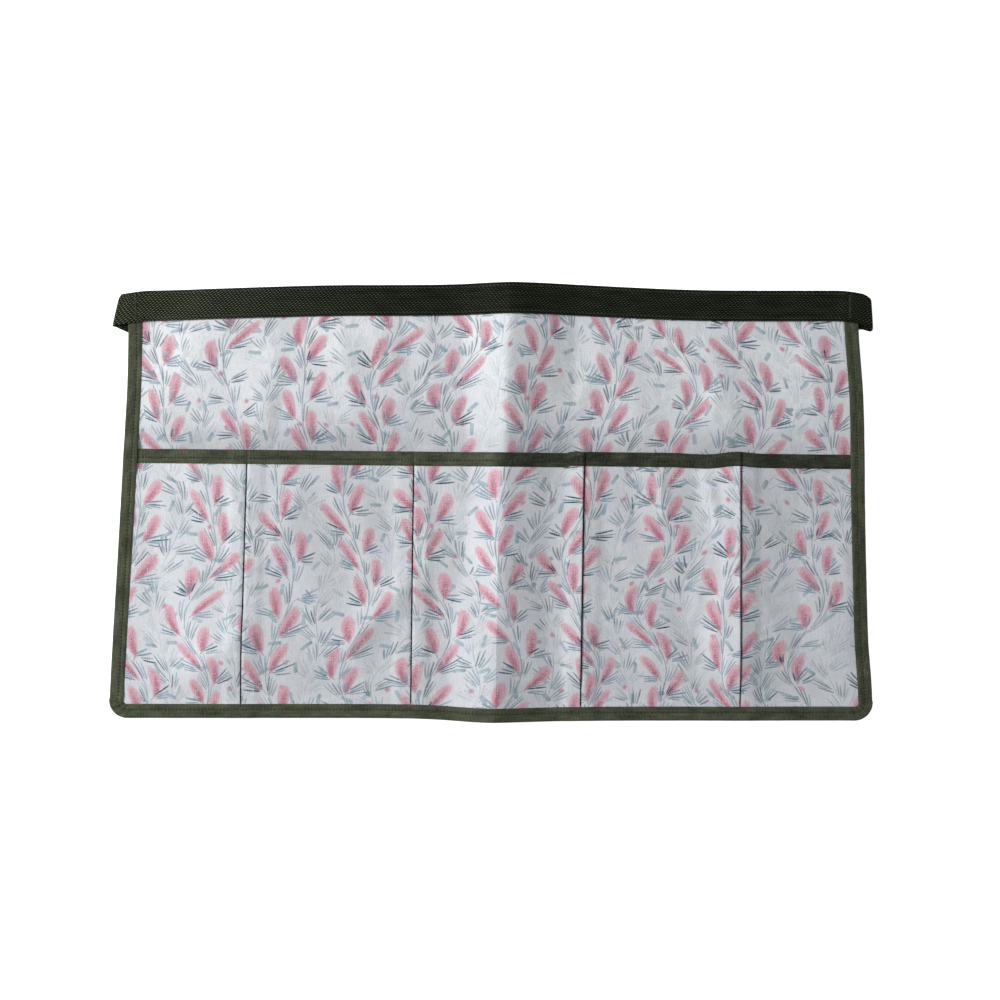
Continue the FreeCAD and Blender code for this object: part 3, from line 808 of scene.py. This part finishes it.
def edge_stack(x, y):
    """The upper face of what the edge binding covers, bunched up a little round both corners."""
    above = y - mouth_line(x)
    tape = smooth((MOUTH_FADE - above) / MOUTH_FADE) * smooth((above + TAPE_WIDTH + 12) / 11)
    aside, up = np.abs(x) - HALF_BOTTOM + CORNER, y - hem_line(x) - CORNER
    corner = smooth((aside + 14) / 12) * smooth((14 - up) / 12)
    bunch = 0.35 * corner * (1 + np.sin(np.arctan2(up, aside) * 15))
    return upper_cloth(x, y) + 2 * TAPE * tape + bunch


def make_edge_binding():
    edge, inward, along = edge_route()
    tape = wrapped("edge_binding_tape", edge, inward, edge_stack, 2 * CANVAS, TAPE_WIDTH + 0.7,
                   along, edge_taped)
    dressed(tape, "root", "binding_tape", "binding_left", "binding_bottom", "binding_right")
    x, y = edge[0] + inward[0] * SEAM_DEPTH, edge[1] + inward[1] * SEAM_DEPTH
    route = stacked(x, y, edge_stack(x, y) + TAPE - TAPE_SINK)
    inside = y < belt_low[1] - 3
    sewn("edge_binding_thread", [route[inside]], "root", "stitching_binding_left",
         "stitching_binding_bottom", "stitching_binding_right")


# ---------------------------------------- the pockets
# What each side of a pocket does: sewn into the edge binding, pinched into a divider seam, raised
# in a fold that stands over the seam, or tucked under the neighbour's raised fold.
POCKET_SIDES = (
    ("sewn", "pinched"), ("tucked", "pinched"), ("pinched", "raised"),
    ("tucked", "raised"), ("tucked", "sewn"),
)
# How the cloth stands up to each divider: (height, width on the left, width on the right).
SHOULDERS = ((6.2, 70, 82), (1.6, 26, 30), (4.6, 28, 44), (8.4, 36, 46))
# How far a pocket front stands off the panel, and how much of that is left at the hem.
PUFF, HEM_SHARE = 2.4, 0.12
# How far inside the panel's sides the outer pockets end, and how far above the hem they all do.
SIDE_INSET, POCKET_FOOT = 6, 7
POCKET_HEIGHT = MOUTH + HALF_HEIGHT - POCKET_FOOT


def side_rise(kind, away):
    """The share of its full height that a pocket front has, at a distance from one of its sides."""
    if kind == "pinched":
        return 0.35 * np.sqrt(smooth(away / 4)) + 0.65 * smooth(away / 45)
    if kind == "tucked":
        return 0.2 * smooth(away / 3) + 0.8 * smooth(away / 60)
    if kind == "sewn":
        return smooth((away - 6) / 110)
    near = np.clip(away / 1.4, 0, 1)
    return 0.75 * np.sqrt(near * (2 - near)) + 0.25 * smooth(away / 60)


def shoulders(x, y):
    """How far the folds along the dividers lift the pocket fronts."""
    lift = 0
    for number, (height, left, right) in zip((1, 2, 3, 4), SHOULDERS):
        lift = np.maximum(lift, height * crest(x, divider_line(number, y), left, right))
    return lift


def pocket_edges(number, y):
    left = panel_side(-1, y) + SIDE_INSET if number == 1 else divider_line(number - 1, y)
    right = panel_side(1, y) - SIDE_INSET if number == 5 else divider_line(number, y)
    return left, right


def pleat_lift(x, y):
    """The folded canvas beside each divider lifts what lies on it."""
    lift = np.zeros(np.shape(x))
    for number in (1, 2, 3, 4):
        away = np.abs(x - divider_line(number, y))
        lift = np.maximum(lift, CANVAS * (1 - smooth((away - 10) / 7)))
    return lift


def pocket_top(number, x, y):
    """The upper face of a pocket front: it gapes at the mouth, is slack and puckers at its seams."""
    left, right = pocket_edges(number, y)
    kinds = POCKET_SIDES[number - 1]
    near, far = np.maximum(x - left, 0), np.maximum(right - x, 0)
    rise = side_rise(kinds[0], near) * side_rise(kinds[1], far)
    hem = smooth((y - hem_line(x) - TAPE_WIDTH) / 40)
    share = smooth((near - 6) / 40) * smooth((far - 3) / 40)
    gape = 0.8 * share * smooth((y - mouth_line(x) + 70) / 70)
    slack = 0.5 * (1 + np.sin(x / 9.0 + y / 21.0 + number)) * hem * share
    puckers = 0.25 * np.exp(-np.minimum(near, far) / 9) * (1 + np.sin(y / 2.9 + 2 * np.sin(y / 11)))
    base = panel_top(x, y) + CANVAS + 0.06 + pleat_lift(x, y)
    full = rise * PUFF + shoulders(x, y)
    return base + full * mix(HEM_SHARE, 1, hem) + gape + slack + puckers * hem


def upper_cloth(x, y):
    """The upper face of whatever canvas is on top: a pocket front below the mouths."""
    lines = [divider_line(number, y) for number in (1, 2, 3, 4)]
    number = 1 + sum((x > line).astype(int) for line in lines)
    top = np.select([number == n for n in range(1, 6)], [pocket_top(n, x, y) for n in range(1, 6)])
    below = smooth((mouth_line(x) + MOUTH_FADE - y) / MOUTH_FADE)
    return mix(panel_top(x, y), top, below)


def pocket_columns(half):
    """Shares of a pocket's width between its seam and its middle, closest together at the seam."""
    spread = 0.5 * np.linspace(0, 1, 31) ** 1.7
    return spread if half == "left" else 1 - spread[::-1]


def pocket_body(number, half):
    """How half a pocket would blend from the panel at its seam to the opening mouth at its middle: two
    bodies and two points, which dressed does not apply.
    """
    left, right = pocket_edges(number, 0.0)
    seam = left if half == "left" else right
    middle = (left + right) / 2
    return "root", f"pocket_{number}", (seam * MM, 0, 0), (middle * MM, 0, 0)


def stood_for(stem, number, half):
    """A pocket's left half stands for the whole CAD node, and its right half for none."""
    return (f"{stem}_{number}",) if half == "left" else ()


def make_front(number, half):
    """Half of a pocket's canvas front."""
    slit = 0.6
    share = pocket_columns(half)[None, :]
    flat_y = np.linspace(POCKET_FOOT - HALF_HEIGHT, MOUTH, 84)[:, None]
    left, right = pocket_edges(number, flat_y)
    x = mix(left + slit * (number > 1), right - slit * (number < 5), share)
    up = (flat_y + HALF_HEIGHT - POCKET_FOOT) / POCKET_HEIGHT
    y = mix(hem_line(x) + POCKET_FOOT, mouth_line(x) - CANVAS, up)
    top = pocket_top(number, x, y)
    # each pocket shows another part of the print
    uv = stacked(x + 31 + 56 * number, y + 17)
    front = layer(f"pocket_{number}_{half}_half", x, y, top, top - CANVAS, uv, printed)
    dressed(front, pocket_body(number, half), "canvas_print", *stood_for("pocket_front", number, half))


def make_mouth(number, half):
    """The tape over half of a pocket's mouth, and its row of stitches."""
    body = pocket_body(number, half)
    tape_gap, stitch_gap = 0.05, 0.8
    left, right = pocket_edges(number, MOUTH)
    x = mix(left + tape_gap, right - tape_gap, pocket_columns(half))
    edge = (x, mouth_line(x))
    inward = (0 * x, 0 * x - 1)
    surface = functools.partial(pocket_top, number)
    tape = wrapped(f"mouth_tape_{number}_{half}", edge, inward, surface, CANVAS,
                   TAPE_WIDTH + 0.8, x, mouth_taped)
    dressed(tape, body, "binding_tape", *stood_for("mouth_binding", number, half))
    inset = stitch_gap + 7 * (number in (1, 5))
    x = x[(x > left + inset) & (x < right - inset)]
    y = mouth_line(x) - SEAM_DEPTH
    route = stacked(x, y, pocket_top(number, x, y) + TAPE - TAPE_SINK)
    sewn(f"mouth_thread_{number}_{half}", [route], body, *stood_for("stitching_mouth", number, half))


def make_divider(number):
    """The canvas folded away behind two pocket fronts, and the seam through it."""
    half_width, pleat_foot, seam_foot = 13.5, 9, 13
    rows = np.linspace(pleat_foot - HALF_HEIGHT, MOUTH - TAPE_WIDTH - 1, 70)[:, None]
    x = divider_line(number, rows) + np.linspace(-half_width, half_width, 15)[None, :]
    y = rows + hem_line(x) + HALF_HEIGHT
    low = panel_top(x, y) + CLOTH_GAP
    uv = stacked(x + 20 * number, y + 40)
    pleat = layer(f"pleat_cloth_{number}", x, y, low + CANVAS - 0.1, low, uv, printed)
    dressed(pleat, "root", "canvas_print", f"pleat_{number}")
    y = np.linspace(hem_line(DIVIDERS[number - 1]) + seam_foot, MOUTH - TAPE_WIDTH - 3, 90)
    x = divider_line(number, y)
    route = stacked(x, y, panel_top(x, y) + CANVAS + 0.25)
    sewn(f"divider_thread_{number}", [route], "root", f"divider_seam_{number}", length=2.95)


# ---------------------------------------- the belt and the straps
def webbing_profile(count):
    """Places across the webbing from -1 to 1, and its half thickness there: thin at both edges."""
    across = np.sin(np.linspace(-1, 1, count) * math.pi / 2)
    return across, WEBBING / 2 * (1 - 0.45 * np.abs(across) ** 8)


def belt_level(x, y):
    """The middle of the belt's thickness where it crosses the panel."""
    ends = smooth((np.abs(x) - HALF_TOP + TAPE_WIDTH + 5) / 4)
    return panel_top(x, y) + 0.1 + WEBBING / 2 + TAPE * ends


# How far the belt's flat front reaches to each side, before it turns back.
BELT_END = HALF_TOP - 3


def make_belt():
    across, half = webbing_profile(17)
    flat_x = np.linspace(-BELT_END, BELT_END, 300)[:, None]
    flat_y = BELT_MIDDLE + across[None, :] * BELT_WIDTH / 2
    x, y = settle(flat_x, flat_y)
    level = belt_level(x, y)
    uv = stacked(flat_x, flat_y - BELT_MIDDLE)
    belt = layer("belt_webbing", x, y, level + half, level - half, uv, webbed)
    dressed(belt, "root", "webbing", "front_belt")


def make_belt_rows():
    """A row of stitches along each edge of the belt."""
    reach = HALF_TOP - TAPE_WIDTH
    for word, line in (("upper", belt_high[1] - SEAM_INSET), ("lower", belt_low[1] + SEAM_INSET)):
        x, y = settle(np.linspace(-reach, reach, 400), line)
        route = stacked(x, y, belt_level(x, y) + WEBBING / 2 - WEBBING_SINK)
        sewn(f"belt_thread_{word}", [route], "root", f"stitching_belt_{word}", width=0.7)


def make_bar_tacks():
    """Short slanted stitches, close above each other, where the belt crosses the side bindings."""
    half_height, count, spacing, slant = 9, 16, 1.2, 0.6
    reach = np.array([7.6, 4.6])
    for word, side in (("left", -1), ("right", 1)):
        routes = []
        for k in range(count):
            flat_y = BELT_MIDDLE - half_height + spacing * k
            x, y = settle(side * (HALF_TOP - reach), np.array([flat_y, flat_y + slant]))
            routes.append(stacked(x, y, belt_level(x, y) + WEBBING / 2))
        # each route is shorter than the pitch, so it gets a single stitch
        sewn(f"bar_tack_thread_{word}", routes, "root", f"bar_tack_{word}", pitch=9, length=2.8)


def strap_sag(strap, along):
    """The strap leaves its fold a little lower than the frame's line and comes back to it."""
    start = settle(strap.origin[0], BELT_MIDDLE)[1] - BELT_MIDDLE - strap.drop
    return start * (1 - smooth(along / 75))


# The radius of the webbing's turn at the belt's end, how far from the fold the strap is flat again, and
# the height within which the turn would go over from following the belt to following the strap, a blend
# that is not applied.
TURN_RADIUS = 1.65
STRAP_START = 9.0
TURN_BLEND = 0.1


def strap_point(strap, along, across, level):
    """Places on a strap, in the apron's axes."""
    x = strap.origin[0] + strap.along[0] * along + strap.across[0] * across
    y = strap.origin[1] + strap.along[1] * along + strap.across[1] * across
    return stacked(x, y + strap_sag(strap, along), level)


def make_turn(strap):
    """The webbing where it folds back behind the apron at the end of the belt."""
    across, half = webbing_profile(25)
    centre = len(across) // 2
    side = strap.outward
    w = across * BELT_WIDTH / 2
    slant = strap.axis[0] / strap.axis[1]
    fold_x = strap.origin[0] + slant * w - side * TURN_RADIUS
    fold_x = fold_x - side * strap.rounding * np.clip((across - 0.62) / 0.38, 0, 1) ** 2
    belt_x, belt_y = settle(side * BELT_END, BELT_MIDDLE + w)
    belt_z = belt_level(belt_x, belt_y)
    fold_y = BELT_MIDDLE + w + (strap_sag(strap, 0.0) + strap.drop) - strap.droop * smooth(-across)
    turn_z = strap.origin[2] + TURN_RADIUS
    points, normals = [], []
    for share in np.linspace(0, 1, 9)[:-1]:
        z = mix(belt_z, turn_z, smooth(share))
        points.append(stacked(mix(belt_x, fold_x, share), mix(belt_y, fold_y, share), z))
        normals.append(stacked(0 * w, 0, 1))
    # an even number of rows, so that none is at the fold itself, where the webbing is creased
    for angle in np.linspace(0, math.pi, 16):
        out, up = math.sin(angle), math.cos(angle)
        y = fold_y - strap.drop * smooth(angle / math.pi)
        points.append(stacked(fold_x + side * TURN_RADIUS * out, y, strap.origin[2] + TURN_RADIUS * up))
        normals.append(stacked(0 * w + side * out, 0, up))
    last_row = points[-1]
    strap_row = strap_point(strap, STRAP_START, -side * w, STRAP_LOW + WEBBING / 2)
    for share in np.linspace(0, 1, 7)[1:]:
        points.append(mix(last_row, strap_row, share))
        normals.append(stacked(0 * w, 0, -1))
    middle, offset = np.array(points), np.array(normals) * half[None, :, None]
    run = run_along(middle[:, centre])
    uv = stacked(side * (BELT_END + run[:, None]), w)
    piece = solid(f"{strap.side}_strap_turn", middle + offset, middle - offset, uv, webbed)
    rise = np.array([0, 0, TURN_BLEND / 2])
    start, end = (strap.origin + rise) * MM, (strap.origin - rise) * MM
    dressed(piece, ("root", strap.body, start, end), "webbing")


def make_strap(strap):
    """The webbing from the fold to the buckle's bar, round the bar and back along itself."""
    low, length = STRAP_LOW + WEBBING / 2, strap.length
    loop = BAR_LEVEL - low
    tail_level = low + WEBBING + 0.2
    come_down = length - 20
    turn = np.linspace(-math.pi / 2, math.pi / 2, 17)
    run_in = np.linspace(STRAP_START, length - 1, max(12, int(length / 5)))
    ease = np.linspace(0, 1, 10)[1:]
    tail_run = np.linspace(come_down, length - strap.tail, max(4, int(strap.tail / 6)))[1:]
    along = np.concatenate([
        run_in, length + loop * np.cos(turn), mix(length, come_down, ease), tail_run])
    level = np.concatenate([
        low + 0 * run_in, BAR_LEVEL + loop * np.sin(turn),
        mix(BAR_LEVEL + loop, tail_level, smooth(ease)), tail_level + 0 * tail_run])
    tangent = np.stack([np.gradient(along), np.gradient(level)], -1)
    tangent = tangent / np.linalg.norm(tangent, axis=1)[:, None]
    across, half = webbing_profile(13)
    w = across[None, :] * BELT_WIDTH / 2
    middle = strap_point(strap, along[:, None], w, level[:, None])
    normal = stacked(tangent[:, 1] * strap.along[0], tangent[:, 1] * strap.along[1], -tangent[:, 0])
    offset = normal[:, None, :] * half[None, :, None]
    run = run_along(stacked(along, level))
    uv = stacked(run[:, None], w)
    piece = solid(f"{strap.side}_strap_webbing", middle + offset, middle - offset, uv, webbed)
    dressed(piece, strap.body, "webbing", f"{strap.side}_strap")
    first = length - strap.tail + 1.5
    last = first + strap.hem
    reach = BELT_WIDTH / 2 - SEAM_INSET
    corners = [(first, -reach), (last, -reach), (last, reach), (first, reach), (first, -reach)]
    top = tail_level + WEBBING / 2
    points = np.array([strap_point(strap, a, b, top - WEBBING_SINK) for a, b in corners])
    routes = [points[k:k + 2] for k in range(4)]
    sewn(f"{strap.side}_strap_thread", routes, strap.body, f"stitching_{strap.side}_strap")


# ---------------------------------------- light, floor and camera, in metres
def make_floor():
    """A pale floor that glows, so that it stays almost white where little light reaches it."""
    bpy.ops.mesh.primitive_plane_add(size=24)
    floor = bpy.context.object
    floor.name = "floor"
    finish = Finish("pale_floor", roughness=0.9)
    x, y = finish.space_place(2)
    cloud = finish.noise(x * 0.01, y * 0.01)
    finish.colour(finish.blend((0.9, 0.9, 0.9), (0.93, 0.93, 0.93), cloud))
    finish.shader.inputs["Emission Color"].default_value = (1, 1, 1, 1)
    finish.shader.inputs["Emission Strength"].default_value = 0.85
    floor.data.materials.append(finish.material)


def make_world():
    """White up to a little above the horizon, like the floor, and a dimmer soft light above that."""
    world = bpy.data.worlds.new("studio")
    bpy.context.scene.world = world
    world.use_nodes = True
    nodes, links = world.node_tree.nodes, world.node_tree.links
    nodes["Background"].inputs["Color"].default_value = (0.95, 0.97, 1.0, 1)
    way = nodes.new("ShaderNodeTexCoord")
    height = nodes.new("ShaderNodeSeparateXYZ")
    links.new(way.outputs["Generated"], height.inputs["Vector"])
    glow = nodes.new("ShaderNodeMapRange")
    glow.interpolation_type = "SMOOTHSTEP"
    for name, value in (("From Min", 0.16), ("From Max", 0.22), ("To Min", 1.06), ("To Max", 0.3)):
        glow.inputs[name].default_value = value
    links.new(height.outputs["Z"], glow.inputs["Value"])
    links.new(glow.outputs["Result"], nodes["Background"].inputs["Strength"])


def make_lamp():
    """One large lamp on the left, low enough to show the folds."""
    key = bpy.data.lights.new("key", "AREA")
    key.size, key.energy = 1.0, 91
    lamp = bpy.data.objects.new("key", key)
    lamp.location = (-2.4, 0.75, 1.5)
    lamp.rotation_euler = (-lamp.location).to_track_quat("-Z", "Y").to_euler()
    bpy.context.scene.collection.objects.link(lamp)


def make_camera():
    """A camera that looks straight down on the apron."""
    camera = bpy.data.cameras.new("camera")
    camera.lens, camera.sensor_width = 85, 36
    view = bpy.data.objects.new("camera", camera)
    view.location = (0.0062, 0.0019, 1.94)
    bpy.context.scene.collection.objects.link(view)
    bpy.context.scene.camera = view
    bpy.context.scene.view_settings.view_transform = "Standard"


make_floor()
make_world()
make_lamp()
make_camera()
make_panel()
make_edge_binding()
for pocket_number in (1, 2, 3, 4, 5):
    for pocket_half in ("left", "right"):
        make_front(pocket_number, pocket_half)
        make_mouth(pocket_number, pocket_half)
for divider_number in (1, 2, 3, 4):
    make_divider(divider_number)
make_belt()
make_belt_rows()
make_bar_tacks()
for one_strap in (left_strap, right_strap):
    make_strap(one_strap)
    make_turn(one_strap)
HARD_PARTS = ("buckle_socket", "buckle_plug", "plug_prong_left", "plug_prong_right", "strap_keeper")
for hard_part in HARD_PARTS:
    slots = frame["nodes"][hard_part].data.materials
    slots.clear()
    slots.append(moulded)
